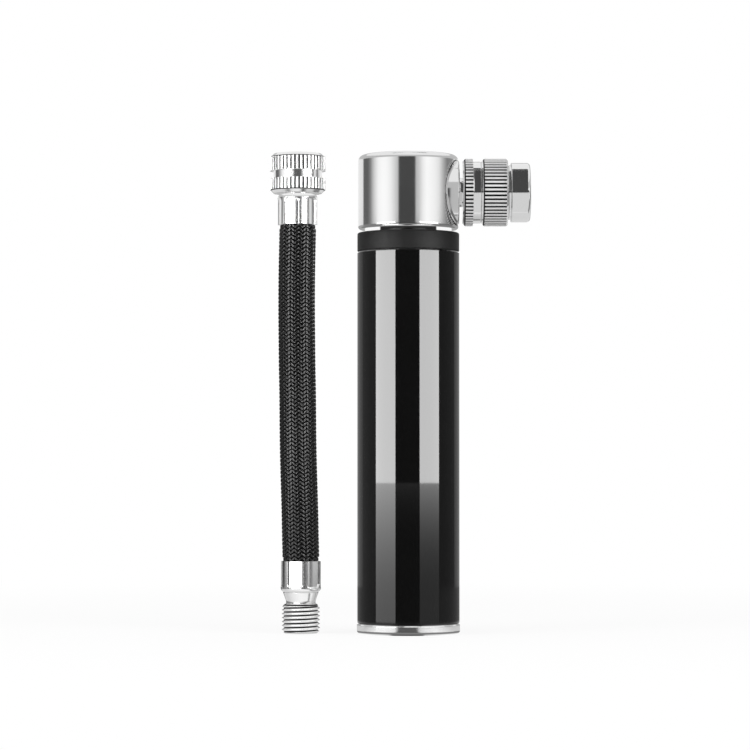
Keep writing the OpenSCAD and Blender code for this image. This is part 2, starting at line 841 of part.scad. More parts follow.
module swivel_nut()
    color("gainsboro")
        at_hose(upper_shift)
            difference() {
                rotate_extrude()
                    difference() {
                        band(tail_neck_r + run_gap, nut_r, nut_z, nut_top);
                        band(0, valve_bore_r, nut_lip_top, nut_top + over);
                        band(0, nut_undercut_r, nut_lip_top, nut_undercut_top);
                        band(nut_groove_d / 2, nut_r + over, nut_groove_z, nut_upper_z);
                        corner_bevel(nut_r, nut_z, nut_bevel, 1, -1);
                        corner_bevel(nut_r, nut_top, nut_bevel, 1, 1);
                        corner_bevel(valve_bore_r, nut_top, mouth_bevel, -1, 1);
                    }
                knurl_grooves(nut_r, nut_teeth, nut_tooth_h, nut_z - over, nut_top + over);
            }

module nut_gasket()
    color("#1c1c1c")
        at_hose(upper_shift, nut_gasket_z)
            rotate_extrude()
                band(nut_gasket_hole_r, nut_undercut_r - fit_gap, 0, nut_gasket_h);

module nut_depressor()
    color("goldenrod")
        at_hose(upper_shift)
            depressor(nut_gasket_hole_r - fit_gap, nut_gasket_z, nut_gasket_z + nut_gasket_h - pin_inset);

base_cap();
base_cap_o_ring();
barrel_tube();
collar();
rod_bush();
bush_snap_ring();
plunger_tube();
piston();
piston_cup_seal();
piston_retainer();
end_bumper();
check_ball();
check_spring();
pump_head();
head_o_ring();
outlet_nipple();
nipple_o_ring();
chuck_sleeve();
chuck_nose();
chuck_gasket();
valve_depressor();
hose_male_fitting();
lower_ferrule();
hose_liner();
hose_braid();
upper_ferrule();
hose_tail();
swivel_nut();
nut_gasket();
nut_depressor();
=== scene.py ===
"""Looks of a bicycle mini pump and its braided hose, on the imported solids. Metres, +Z up."""

import json
import math

import bmesh
import bpy
import numpy as np
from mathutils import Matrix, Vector


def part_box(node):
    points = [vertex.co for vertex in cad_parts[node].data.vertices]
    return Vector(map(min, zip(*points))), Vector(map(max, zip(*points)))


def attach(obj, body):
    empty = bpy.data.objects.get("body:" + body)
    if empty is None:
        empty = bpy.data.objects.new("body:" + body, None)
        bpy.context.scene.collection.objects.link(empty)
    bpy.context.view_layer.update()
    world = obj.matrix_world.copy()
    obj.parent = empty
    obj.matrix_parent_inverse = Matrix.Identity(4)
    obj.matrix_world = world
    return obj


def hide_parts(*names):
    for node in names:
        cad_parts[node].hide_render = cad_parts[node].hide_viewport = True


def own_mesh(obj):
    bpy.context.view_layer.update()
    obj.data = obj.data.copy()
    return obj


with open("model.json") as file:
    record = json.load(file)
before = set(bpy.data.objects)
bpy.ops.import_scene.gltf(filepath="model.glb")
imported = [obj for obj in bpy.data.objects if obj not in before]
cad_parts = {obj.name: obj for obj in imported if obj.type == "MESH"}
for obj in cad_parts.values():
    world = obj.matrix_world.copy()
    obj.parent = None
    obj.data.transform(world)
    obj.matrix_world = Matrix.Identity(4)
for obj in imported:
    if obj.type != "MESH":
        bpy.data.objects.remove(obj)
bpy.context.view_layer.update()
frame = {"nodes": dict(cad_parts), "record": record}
nodes = frame["nodes"]
scene = bpy.context.scene
scene.view_settings.view_transform = "Standard"
MM = 0.001

# Where the hose's lower end, upper end and middle stand, and how high the chuck's axis is, in millimetres
HOSE_X = -21.9
NUT_X = -22.6
HOSE_MIDDLE = (-22.5, 0.1, 0)
CHUCK_Z = 89.9


# Node trees

class Value:
    """An output socket that takes part in sums as a number does."""

    def __init__(self, tree, socket):
        self.tree, self.socket = tree, socket

    def maths(self, operation, first, second=None):
        inputs = {0: first} if second is None else {0: first, 1: second}
        return self.tree.add("ShaderNodeMath", {"operation": operation}, inputs)

    def other(self, name):
        return Value(self.tree, self.socket.node.outputs[name])

    def __add__(self, other):
        return self.maths("ADD", self, other)

    __radd__ = __add__

    def __sub__(self, other):
        return self.maths("SUBTRACT", self, other)

    def __rsub__(self, other):
        return self.maths("SUBTRACT", other, self)

    def __mul__(self, other):
        return self.maths("MULTIPLY", self, other)

    __rmul__ = __mul__

    def __truediv__(self, other):
        return self.maths("DIVIDE", self, other)

    def __rtruediv__(self, other):
        return self.maths("DIVIDE", other, self)

    def __mod__(self, other):
        return self.maths("MODULO", self, other)

    def __pow__(self, other):
        return self.maths("POWER", self, other)

    def floor(self):
        return self.maths("FLOOR", self)

    def sine(self):
        return self.maths("SINE", self)

    def cosine(self):
        return self.maths("COSINE", self)

    def least(self, other):
        return self.maths("MINIMUM", self, other)

    def most(self, other):
        return self.maths("MAXIMUM", self, other)

    def magnitude(self):
        return self.maths("ABSOLUTE", self)

    def between(self, low, high):
        """0 below low and 1 above high, with a soft step between."""
        settings = {"interpolation_type": "SMOOTHSTEP"}
        inputs = {"Value": self, "From Min": low, "From Max": high}
        return self.tree.add("ShaderNodeMapRange", settings, inputs)


class Tree:
    """A node tree, with one method that makes any node."""

    def __init__(self, tree):
        self.tree = tree

    def add(self, kind, settings=None, inputs=None, out=0):
        node = self.tree.nodes.new(kind)
        for name, setting in (settings or {}).items():
            setattr(node, name, setting)
        for name, value in (inputs or {}).items():
            if isinstance(value, Value):
                self.tree.links.new(value.socket, node.inputs[name])
            else:
                node.inputs[name].default_value = value
        return Value(self, node.outputs[out]) if len(node.outputs) else None

    def blend(self, share, first, second):
        """A colour between two, by share."""
        return self.add(
            "ShaderNodeMix", {"data_type": "RGBA"}, {"Factor": share, 6: first, 7: second}, out=2
        )

    def vector(self, operation, first, second=None, **named):
        inputs = {0: first, **named}
        if second is not None:
            inputs[1] = second
        return self.add("ShaderNodeVectorMath", {"operation": operation}, inputs)


def grey(level, warm=0.0):
    return (level * (1 + warm), level, level * (1 - warm), 1)


def new_material(name):
    material = bpy.data.materials.new(name)
    material.use_nodes = True
    material.node_tree.nodes.clear()
    return material, Tree(material.node_tree)


def surface(tree, **inputs):
    """Closes a material with one principled shader."""
    named = {name.replace("_", " "): value for name, value in inputs.items()}
    shader = tree.add("ShaderNodeBsdfPrincipled", inputs=named)
    tree.add("ShaderNodeOutputMaterial", inputs={"Surface": shader})


def cloud(tree, place, scale, detail=2.0):
    return tree.add("ShaderNodeTexNoise", inputs={"Vector": place, "Scale": scale, "Detail": detail})


def lathe_lines(tree, along, per_metre):
    """Fine rings left by a turning tool, along one axis."""
    inputs = {"W": along * per_metre, "Scale": 1.0, "Detail": 3.0}
    return tree.add("ShaderNodeTexNoise", {"noise_dimensions": "1D"}, inputs)


# Finishes

def grooves(tree, place, along, axis, knurl):
    """Two masks of a knurl or thread: its grooves, which are painted dark as shade, and all of it."""
    centre, crest, root, bands = knurl
    edge = 0.1
    across = tuple(0.0 if name == axis else 1.0 for name in "XYZ")
    offset = tree.vector("MULTIPLY", tree.vector("SUBTRACT", place, centre), across)
    radius = tree.vector("LENGTH", offset).other("Value") / MM
    deep = radius.between(root - 2 * edge, root - edge) * (1 - radius.between(root + edge, crest))
    height = along / MM
    inside = sum(
        height.between(low, low + edge) * (1 - height.between(high - edge, high)) for low, high in bands
    )
    return deep * inside, inside


def turned_metal(name, light, dark, roughness, axis, lines, edge, knurls=()):
    """Bright turned metal: rings from the lathe, faint smears, and edges that are a little rounded."""
    lighter_band_grey, groove_shade = grey(0.94), grey(0.012)
    material, tree = new_material(name)
    place = tree.add("ShaderNodeTexCoord", out="Object")
    along = tree.add("ShaderNodeSeparateXYZ", inputs={"Vector": place}, out=axis)
    rings = lathe_lines(tree, along, lines)
    smear = cloud(tree, place, 140.0, 3.0)
    softened = tree.add("ShaderNodeBevel", {"samples": 6}, {"Radius": edge})
    relief = tree.add(
        "ShaderNodeBump", inputs={"Height": rings, "Strength": 0.06, "Distance": 0.00002, "Normal": softened}
    )
    colour = tree.blend(smear, light, dark)
    gloss = roughness + (rings - 0.5) * 0.08 + (smear - 0.5) * 0.06
    # Knurl and thread bands take a lighter grey, and their grooves a near black that is painted shade
    for knurl, pressed_rough in knurls:
        groove_shade_mask, inside = grooves(tree, place, along, axis, knurl)
        colour = tree.blend(groove_shade_mask, tree.blend(inside, colour, lighter_band_grey), groove_shade)
        gloss = gloss + inside * pressed_rough
    surface(tree, Base_Color=colour, Metallic=1.0, Roughness=gloss, Normal=relief)
    return material


def barrel_gloss(name):
    """Gloss black tube: a deep coat with hardly any ripple and a few faint wipe marks."""
    material, tree = new_material(name)
    place = tree.add("ShaderNodeTexCoord", out="Object")
    ripple = cloud(tree, place, 420.0, 1.0)
    wipe = cloud(tree, place, 70.0, 4.0)
    relief = tree.add("ShaderNodeBump", inputs={"Height": ripple, "Strength": 0.02, "Distance": 0.00003})
    surface(
        tree,
        Base_Color=tree.blend(wipe, grey(0.002), grey(0.004)),
        Roughness=0.03 + wipe * 0.03,
        IOR=1.5,
        Normal=relief,
    )
    return material


def drawn_tube(name):
    """Satin black tube with drawing marks along its length."""
    material, tree = new_material(name)
    place = tree.add("ShaderNodeTexCoord", out="Object")
    stretched = tree.add("ShaderNodeMapping", inputs={"Vector": place, "Scale": (2600, 2600, 60)})
    marks = cloud(tree, stretched, 1.0)
    relief = tree.add("ShaderNodeBump", inputs={"Height": marks, "Strength": 0.15, "Distance": 0.00002})
    surface(
        tree,
        Base_Color=tree.blend(marks, grey(0.012), grey(0.022)),
        Roughness=0.3 + marks * 0.16,
        Specular_IOR_Level=0.3,
        Normal=relief,
    )
    return material


def grained(name, low, high, roughness, grain, depth, shine=0.5):
    """Moulded plastic or rubber: a fine grain, patches of sheen, and edges rubbed a little lighter."""
    worn = tuple(min(1.0, channel * 2.2) for channel in high[:3]) + (1,)
    material, tree = new_material(name)
    place = tree.add("ShaderNodeTexCoord", out="Object")
    speck = cloud(tree, place, grain)
    patch = cloud(tree, place, 220.0, 3.0)
    softened = tree.add("ShaderNodeBevel", {"samples": 4}, {"Radius": 0.00015})
    true_normal = tree.add("ShaderNodeNewGeometry", out="Normal")
    facing = tree.vector("DOT_PRODUCT", softened, true_normal).other("Value")
    rubbed = (1 - facing) * 3.0
    relief = tree.add(
        "ShaderNodeBump", inputs={"Height": speck, "Strength": depth, "Distance": 0.00004, "Normal": softened}
    )
    body = tree.blend(patch, low, high)
    surface(
        tree,
        Base_Color=tree.blend(rubbed.least(0.5), body, worn),
        Roughness=roughness + (speck - 0.5) * 0.14,
        Specular_IOR_Level=shine,
        Normal=relief,
    )
    return material


def braid_yarn(name):
    """Black yarn packed flat round the hose: filaments side by side along each strand, and pale flecks."""
    filament_pairs, packing = 2, 0.74
    middle = tuple(coordinate * MM for coordinate in HOSE_MIDDLE)
    material, tree = new_material(name)
    across = tree.add("ShaderNodeAttribute", {"attribute_name": "yarn_across"}, out="Fac")
    place = tree.add("ShaderNodeTexCoord", out="Object")
    fleck = cloud(tree, place, 2600.0, 2.0)
    filaments = (across * (2 * math.pi * filament_pairs)).cosine()
    height = filaments * 0.6 + fleck * 0.4
    outward = tree.vector("MULTIPLY", tree.vector("SUBTRACT", place, middle), (1, 1, 0))
    strand = tree.add("ShaderNodeNewGeometry", out="Normal")
    packed = tree.vector(
        "NORMALIZE",
        tree.vector(
            "ADD",
            tree.vector("SCALE", tree.vector("NORMALIZE", outward), Scale=packing),
            tree.vector("SCALE", strand, Scale=1 - packing),
        ),
    )
    relief = tree.add(
        "ShaderNodeBump", inputs={"Height": height, "Strength": 0.5, "Distance": 0.00002, "Normal": packed}
    )
    surface(
        tree,
        Base_Color=tree.blend(fleck.between(0.45, 0.75), grey(0.002), grey(0.01)),
        Roughness=0.16 + fleck * 0.14,
        Specular_IOR_Level=0.5,
        Normal=relief,
    )
    return material


# Each knurl: a place on its axis, and in millimetres its crest, its root and its bands along the axis
CHUCK_KNURL = ((0, 0, CHUCK_Z * MM), 6.9, 6.7, [(11.3, 13.2), (15.15, 20.0)])
NUT_KNURL = ((NUT_X * MM, 0, 0), 5.7, 5.45, [(90.2, 92.75), (94.25, 97.3)])
VALVE_THREAD = ((HOSE_X * MM, 0, 0), 3.64, 3.41, [(0.2, 6.1)])

finishes = {
    "polished_metal": turned_metal(
        "polished_metal", grey(0.8), grey(0.76), 0.1, "Z", 9000, 0.0001
    ),
    "gloss_black": barrel_gloss("gloss_black"),
    "satin_black": drawn_tube("satin_black"),
    "black_plastic": grained("black_plastic", grey(0.006), grey(0.01), 0.55, 5200, 0.35, 0.18),
    "bush_plastic": grained("bush_plastic", grey(0.66, 0.05), grey(0.72, 0.05), 0.45, 4200, 0.15),
    "seal_rubber": grained("seal_rubber", grey(0.014), grey(0.022), 0.62, 6200, 0.3),
    "spring_steel": turned_metal(
        "spring_steel", grey(0.62), grey(0.55), 0.25, "Z", 7000, 0.00005
    ),
    "brass": turned_metal(
        "brass", (0.78, 0.56, 0.25, 1), (0.68, 0.47, 0.2, 1), 0.26, "Z", 8000, 0.00008
    ),
    "chuck_metal": turned_metal(
        "chuck_metal", grey(0.82), grey(0.78), 0.08, "X", 9000, 0.00005, [(CHUCK_KNURL, 0.5)]
    ),
    "hose_metal": turned_metal(
        "hose_metal", grey(0.86), grey(0.8), 0.16, "Z", 8000, 0.00006,
        [(NUT_KNURL, 0.32), (VALVE_THREAD, 0.1)]
    ),
    "hose_rubber": grained("hose_rubber", grey(0.014), grey(0.02), 0.6, 6200, 0.3),
    "braid": braid_yarn("braid"),
    # The braid's core is near black: painted shade in the gaps between the strands
    "braid_gap_shade": grained("braid_gap_shade", grey(0.001), grey(0.002), 0.8, 6200, 0.1, 0.05),
}


# Meshes

def new_piece(name, mesh):
    piece = bpy.data.objects.new(name, mesh)
    scene.collection.objects.link(piece)
    return piece


def line_through(name, points):
    """A curve object through points."""
    line = bpy.data.curves.new(name, "CURVE")
    line.dimensions = "3D"
    spline = line.splines.new("POLY")
    spline.points.add(len(points) - 1)
    for point, place in zip(spline.points, points):
        point.co = (*place, 1)
    return new_piece(name, line)


def plain_mesh(host, name):
    """An object's evaluated shape as a mesh of its own."""
    bpy.context.view_layer.update()
    graph = bpy.context.evaluated_depsgraph_get()
    mesh = bpy.data.meshes.new_from_object(host.evaluated_get(graph), depsgraph=graph)
    mesh.name = name
    return mesh


def close_rings(name, rings, slot):
    """A closed skin over rings of points, where the last ring joins the first."""
    count, sides, _ = rings.shape
    i, j = np.meshgrid(np.arange(count), np.arange(sides), indexing="ij")
    up, on = (i + 1) % count, (j + 1) % sides
    faces = np.stack([i * sides + j, i * sides + on, up * sides + on, up * sides + j], -1)
    mesh = bpy.data.meshes.new(name)
    mesh.from_pydata(rings.reshape(-1, 3).tolist(), [], faces.reshape(-1, 4).tolist())
    edit = bmesh.new()
    edit.from_mesh(mesh)
    bmesh.ops.recalc_face_normals(edit, faces=edit.faces)
    edit.to_mesh(mesh)
    edit.free()
    mesh.shade_smooth()
    mesh.set_sharp_from_angle(angle=math.radians(35))
    mesh.materials.append(finishes[slot])
    return new_piece(name, mesh)


def turn(profile, sides, shape=None):
    """Rings of a turned piece from a list of radius and height; shape may change a radius with the angle."""
    angle = np.linspace(0, 2 * np.pi, sides, endpoint=False)
    rings = np.zeros((len(profile), sides, 3))
    for k, (radius, height) in enumerate(profile):
        r = np.full(sides, radius) if shape is None else shape(radius, height, angle)
        rings[k, :, 0] = r * np.cos(angle)
        rings[k, :, 1] = r * np.sin(angle)
        rings[k, :, 2] = height
    return rings * MM


def thread_wave(height, angle, pitch):
    """0 on a thread's crest and 1 at its root, with a flat at each."""
    crest_flat, flank = 0.12, 0.72
    turns = (height / pitch - angle / (2 * np.pi)) % 1.0
    return np.clip((np.abs(2 * turns - 1) - crest_flat) / flank, 0, 1)


FERRULE_R = 4.1
FERRULE_H = 6.3
LOWER_FERRULE_Z = 8.4
UPPER_FERRULE_Z = 89.6


def pressed(radius, height, angle):
    """The crimp of a ferrule: six pressed panels between ribs, with soft steps at their edges."""
    if radius != FERRULE_R:
        return np.full(len(angle), radius)
    edge, shoulder, corner, half, soft = 0.9, 1.0, 0.7, 1.5, 0.14
    panel_r, mean_r, flatness, twist, step = 3.7, 3.9, 0.6, math.radians(14), math.pi / 3
    rib = FERRULE_R
    if height < edge:
        rib = FERRULE_R - edge + math.sqrt(edge**2 - (edge - height) ** 2)
    off = (angle - twist + step / 2) % step - step / 2
    panel = panel_r / np.cos(flatness * off)
    across = np.abs(off) * mean_r - (half - corner)
    down = shoulder + corner - height
    beside = np.hypot(np.maximum(across, 0), max(down, 0))
    outside = beside + np.minimum(np.maximum(across, down), 0) - corner
    mask = np.clip(0.5 - outside / (2 * soft), 0, 1)
    mask = mask * mask * (3 - 2 * mask)
    return np.minimum(rib, rib + mask * (panel - rib))


def ferrule(name, node, x, foot, up):
    """A crimped sleeve from its closed end at foot towards its mouth; up is 1 or -1."""
    bore_r, end_h, stem_r, bevel, rounded_h = 3.4, 0.8, 2.03, 0.08, 2
    rows = np.concatenate([
        np.linspace(0, rounded_h, 32, endpoint=False), np.linspace(rounded_h, FERRULE_H, 24)
    ])
    profile = [(stem_r, 0)] + [(FERRULE_R, z) for z in rows]
    profile += [(bore_r + bevel, FERRULE_H), (bore_r, FERRULE_H - bevel), (bore_r, end_h), (stem_r, end_h)]
    rings = turn(profile, 288, pressed)
    rings[:, :, 2] = foot * MM + up * rings[:, :, 2]
    rings[:, :, 0] += x * MM
    piece = close_rings(name, rings, "hose_metal")
    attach(piece, "hose")
    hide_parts(node)
    return piece


VALVE_PITCH = 0.794
VALVE_R = 3.85
THREAD_DEPTH = 0.44


def male_fitting():
    """The hose's threaded end, its waist and neck, and the barbed stem inside the ferrule."""
    thread_h, bevel, fillet = 6.0, 0.6, 0.12
    waist_r, waist_top, cone_foot = 3.0, 6.6, 6.8
    neck_r, neck_top, soft, soft_h = 3.6, LOWER_FERRULE_Z, 0.06, 0.08
    stem_r, stem_low_r, stem_foot, barb_h, barbs = 1.98, 1.75, 9.2, 1.8, 3
    air_r, air_bevel, hair = 1.1, 0.3, 0.02
    stem_top = stem_foot + barbs * barb_h

    def cut(radius, height, angle):
        if radius != VALVE_R:
            return np.full(len(angle), radius)
        crest = VALVE_R - THREAD_DEPTH * thread_wave(height, angle, VALVE_PITCH)
        return np.minimum(crest, VALVE_R - max(0, bevel - height, bevel - (thread_h - height)))

    rows = np.linspace(0, thread_h, 97)
    profile = [(air_r + air_bevel, 0), (VALVE_R - bevel - hair, 0)]
    profile += [(VALVE_R, z) for z in rows]
    profile += [(waist_r + fillet, thread_h), (waist_r, thread_h + fillet)]
    profile += [(waist_r, waist_top), (waist_r + soft, cone_foot)]
    profile += [(neck_r, neck_top - soft_h), (neck_r - soft, neck_top)]
    profile += [(stem_r, neck_top), (stem_r, stem_foot)]
    for k in range(barbs):
        foot = stem_foot + k * barb_h
        profile += [(stem_r, foot + hair), (stem_low_r, foot + barb_h - hair / 2)]
    profile += [(stem_low_r, stem_top), (air_r, stem_top), (air_r, air_bevel)]
    rings = turn(profile, 128, cut)
    rings[:, :, 0] += HOSE_X * MM
    piece = close_rings("hose_male_thread", rings, "hose_metal")
    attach(piece, "hose")
    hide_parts("hose_male_fitting")
    return piece


def socket_thread(name, length, place, slot, body):
    """The thread inside a valve socket, as a thin sleeve against the bore."""
    wall_r, skin, depth, lead_in, rows_per_turn = 3.89, 0.03, 0.36, 0.5, 14

    def cut(radius, height, angle):
        if radius == wall_r:
            return np.full(len(angle), radius)
        end = np.clip(min(height, length - height) / lead_in, 0, 1)
        return wall_r - skin - depth * end * (1 - thread_wave(height, angle, VALVE_PITCH))

    rows = np.linspace(0, length, int(length / VALVE_PITCH * rows_per_turn))
    profile = [(wall_r, 0), (wall_r, length)] + [(VALVE_R, z) for z in rows[::-1]]
    rings = place(turn(profile, 96, cut))
    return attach(close_rings(name, rings, slot), body)


def into_chuck(rings):
    """Lays rings along the chuck's axis, from the foot of its thread outwards."""
    thread_foot_x = 17.6
    out = np.empty_like(rings)
    out[:, :, 0] = rings[:, :, 2] + thread_foot_x * MM
    out[:, :, 1] = rings[:, :, 0]
    out[:, :, 2] = rings[:, :, 1] + CHUCK_Z * MM
    return out


def into_nut(rings):
    """Stands rings on the foot of the nut's thread."""
    thread_foot_z = 93.6
    return rings + np.array([NUT_X, 0, thread_foot_z]) * MM


def valve_spring():
    """The check valve's coil spring."""
    wire_r, coil_r, curls, lift = 0.17 * MM, 1.1 * MM, 4, 0.8 * MM
    low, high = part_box("check_spring")
    angle = np.linspace(0, 2 * np.pi * curls, 24 * curls + 1)
    height = np.linspace(low[2] + wire_r, high[2] - wire_r, len(angle))
    helix = np.column_stack([coil_r * np.cos(angle), coil_r * np.sin(angle), height])
    coil = line_through("spring_coil", helix)
    coil.data.bevel_depth, coil.data.bevel_resolution, coil.data.use_fill_caps = wire_r, 2, True
    mesh = plain_mesh(coil, "valve_spring")
    bpy.data.objects.remove(coil)
    mesh.materials.append(finishes["spring_steel"])
    piece = new_piece("valve_spring", mesh)
    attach(piece, "plunger")
    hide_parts("check_spring")
    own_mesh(piece)


# Camera

def add_camera():
    middle_x, distance, eye_height, aim_height = -0.0068, 0.61, 0.033, 0.0526
    lens = bpy.data.cameras.new("photo_camera")
    lens.sensor_width = 36
    lens.lens = 143.6
    lens.clip_start, lens.clip_end = 0.01, 30
    eye = bpy.data.objects.new("photo_camera", lens)
    scene.collection.objects.link(eye)
    eye.location = (middle_x, -distance, eye_height)
    aim = Vector((middle_x, 0, aim_height)) - eye.location
    eye.rotation_euler = aim.to_track_quat("-Z", "Y").to_euler()
    scene.camera = eye


add_camera()


# Hose

# The hose's middle line between its ferrules: its foot, and points from there up, in millimetres
HOSE_FOOT = np.array([HOSE_X, 0, LOWER_FERRULE_Z + FERRULE_H])
HOSE_ROUTE = np.array([
    [0, 0, 0], [0, 0, 0.4], [-0.1, 0.05, 5], [-0.2, 0.1, 10], [-0.35, 0.2, 15], [-0.5, 0.25, 20],
    [-0.6, 0.3, 25], [-0.65, 0.3, 30], [-0.7, 0.3, 35], [-0.8, 0.25, 40], [-0.85, 0.2, 45],
    [-0.9, 0.15, 50], [-0.9, 0.1, 55], [-0.85, 0.05, 60], [-0.75, 0, 65], [-0.7, 0, 68.2], [-0.7, 0, 68.6],
])


def smooth_route(step=0.5):
    """Points close together on a smooth line through the hose's route, in metres."""
    heights = np.arange(HOSE_ROUTE[0, 2], HOSE_ROUTE[-1, 2] + step / 2, step)
    heights[-1] = HOSE_ROUTE[-1, 2]
    slopes = np.gradient(HOSE_ROUTE[:, :2], HOSE_ROUTE[:, 2], axis=0)
    spans = np.clip(np.searchsorted(HOSE_ROUTE[:, 2], heights, "right") - 1, 0, len(HOSE_ROUTE) - 2)
    low, high = HOSE_ROUTE[spans], HOSE_ROUTE[spans + 1]
    gap = (high[:, 2] - low[:, 2])[:, None]
    t = (heights[:, None] - low[:, 2:]) / gap
    sides = (
        (2 * t**3 - 3 * t**2 + 1) * low[:, :2]
        + (t**3 - 2 * t**2 + t) * gap * slopes[spans]
        + (3 * t**2 - 2 * t**3) * high[:, :2]
        + (t**3 - t**2) * gap * slopes[spans + 1]
    )
    return (np.column_stack([sides, heights]) + HOSE_FOOT) * MM


def weave_tree():
    """Strands in columns round a route, slanting one way and the other in turn, over a dark core."""
    pinch_run, rounding = 1.2 * MM, 0.0001
    group = bpy.data.node_groups.new("braid_weave", "GeometryNodeTree")
    group.is_modifier = True
    sizes = {}
    for name, kind in (
        ("Route", "Geometry"), ("Columns", "Int"), ("Rows", "Int"), ("Row pitch", "Float"),
        ("Weave radius", "Float"), ("Core radius", "Float"), ("Strand half length", "Float"),
        ("Strand half width", "Float"), ("Strand half height", "Float"), ("Slant", "Float"),
        ("Pinch", "Float"), ("Yarn", "Material"), ("Core", "Material"),
    ):
        sizes[name] = group.interface.new_socket(name=name, in_out="INPUT", socket_type="NodeSocket" + kind)
    group.interface.new_socket(name="Braid", in_out="OUTPUT", socket_type="NodeSocketGeometry")
    tree = Tree(group)
    given = tree.add("NodeGroupInput")

    index = tree.add("GeometryNodeInputIndex")
    columns = given.other("Columns")
    column = index % columns
    row = (index / columns + rounding).floor()
    run = (row + 0.5) * given.other("Row pitch")
    angle = column * (2 * math.pi) / columns
    whole = tree.add("GeometryNodeCurveLength", inputs={"Curve": given.other("Route")})
    end = run.least(whole - run)
    pinch = (1 - end.between(0.0, pinch_run)) * given.other("Pinch")
    radius = given.other("Weave radius") - pinch

    spot = tree.add(
        "GeometryNodeSampleCurve", {"mode": "LENGTH", "use_all_curves": True},
        {"Curves": given.other("Route"), "Length": run}, out="Position",
    )
    ahead, side = spot.other("Tangent"), spot.other("Normal")
    third = tree.vector("CROSS_PRODUCT", ahead, side)
    outward = tree.vector(
        "ADD",
        tree.vector("SCALE", side, Scale=angle.cosine()),
        tree.vector("SCALE", third, Scale=angle.sine()),
    )
    place = tree.vector("ADD", spot, tree.vector("SCALE", outward, Scale=radius))
    upright = tree.add(
        "FunctionNodeAxesToRotation", {"primary_axis": "Z", "secondary_axis": "Y"},
        {"Primary Axis": outward, "Secondary Axis": ahead},
    )
    hand = 1 - (column % 2) * 2
    lean = tree.add(
        "FunctionNodeAxisAngleToRotation", inputs={"Axis": (0, 0, 1), "Angle": hand * given.other("Slant")}
    )
    facing = tree.add(
        "FunctionNodeRotateRotation", {"rotation_space": "LOCAL"}, {"Rotation": upright, "Rotate By": lean}
    )

    bead = tree.add("GeometryNodeMeshUVSphere", inputs={"Segments": 8, "Rings": 4, "Radius": 1.0})
    reach = tree.add("GeometryNodeInputPosition")
    across = tree.add("ShaderNodeSeparateXYZ", inputs={"Vector": reach}, out="Y")
    bead = tree.add(
        "GeometryNodeStoreNamedAttribute", {"data_type": "FLOAT", "domain": "POINT"},
        {"Geometry": bead, "Name": "yarn_across", "Value": across},
    )
    size = tree.add(
        "ShaderNodeCombineXYZ",
        inputs={
            "X": given.other("Strand half length"), "Y": given.other("Strand half width"),
            "Z": given.other("Strand half height"),
        },
    )
    points = tree.add(
        "GeometryNodePoints", inputs={"Count": columns * given.other("Rows"), "Position": place}
    )
    strands = tree.add(
        "GeometryNodeInstanceOnPoints",
        inputs={"Points": points, "Instance": bead, "Rotation": facing, "Scale": size},
    )
    strands = tree.add("GeometryNodeRealizeInstances", inputs={"Geometry": strands})
    strands = tree.add("GeometryNodeSetShadeSmooth", inputs={"Geometry": strands})
    strands = tree.add(
        "GeometryNodeSetMaterial", inputs={"Geometry": strands, "Material": given.other("Yarn")}
    )
    ring = tree.add(
        "GeometryNodeCurvePrimitiveCircle", inputs={"Resolution": 32, "Radius": given.other("Core radius")}
    )
    core = tree.add(
        "GeometryNodeCurveToMesh",
        inputs={"Curve": given.other("Route"), "Profile Curve": ring, "Fill Caps": True},
    )
    core = tree.add("GeometryNodeSetShadeSmooth", inputs={"Geometry": core})
    core = tree.add("GeometryNodeSetMaterial", inputs={"Geometry": core, "Material": given.other("Core")})
    joined = tree.add("GeometryNodeJoinGeometry", inputs={"Geometry": strands})
    group.links.new(core.socket, joined.socket.node.inputs["Geometry"])
    tree.add("NodeGroupOutput", inputs={"Braid": joined})
    return group, sizes


def grow(host, group, sizes, values, name):
    """Runs a node tree on an object and keeps the result as a plain mesh."""
    modifier = host.modifiers.new(name, "NODES")
    modifier.node_group = group
    for label, value in values.items():
        modifier[sizes[label].identifier] = value
    mesh = plain_mesh(host, name)
    host.modifiers.remove(modifier)
    return mesh


def braided_hose():
    route = smooth_route()
    host = line_through("hose_route", route)
    group, sizes = weave_tree()
    columns, pitch = 28, 0.8
    length = float(np.linalg.norm(np.diff(route, axis=0), axis=1).sum())
    rows = int(length / (pitch * MM))
    mesh = grow(host, group, sizes, {
        "Columns": columns, "Rows": rows, "Row pitch": length / rows,
        "Weave radius": 3.59 * MM, "Core radius": 3.32 * MM,
        "Strand half length": 0.62 * MM, "Strand half width": 0.2 * MM, "Strand half height": 0.18 * MM,
        "Slant": math.radians(47), "Pinch": 0.22 * MM,
        "Yarn": finishes["braid"], "Core": finishes["braid_gap_shade"],
    }, "braided_sleeve")
    bpy.data.objects.remove(host)
    sleeve = new_piece("braided_sleeve", mesh)
    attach(sleeve, "hose")
    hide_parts("hose_braid")
    return sleeve, route


def inner_hose(route):
    """The rubber tube under the braid, open along its bore."""
    sides, tube_r, crimped_r, bore_r, end_h, every = 40, 2.98, 2.6, 2.1, 5.0, 4
    angle = np.linspace(0, 2 * np.pi, sides, endpoint=False)
    ring = np.column_stack([np.cos(angle), np.sin(angle), np.zeros(sides)])
    end = np.array([[0, 0, end_h * MM]])
    line = np.vstack([route[:1] - end, route[::every], route[-1:] + end])
    hair = 1e-6
    crimped = (line[:, 2] < route[0, 2] - hair) | (line[:, 2] > route[-1, 2] + hair)
    outer = np.where(crimped, crimped_r, tube_r)
    skins = [point + ring * radius * MM for point, radius in zip(line, outer)]
    skins += [point + ring * bore_r * MM for point in line[::-1]]
    piece = close_rings("rubber_tube", np.array(skins), "hose_rubber")
    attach(piece, "hose")
    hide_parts("hose_liner")
    return piece


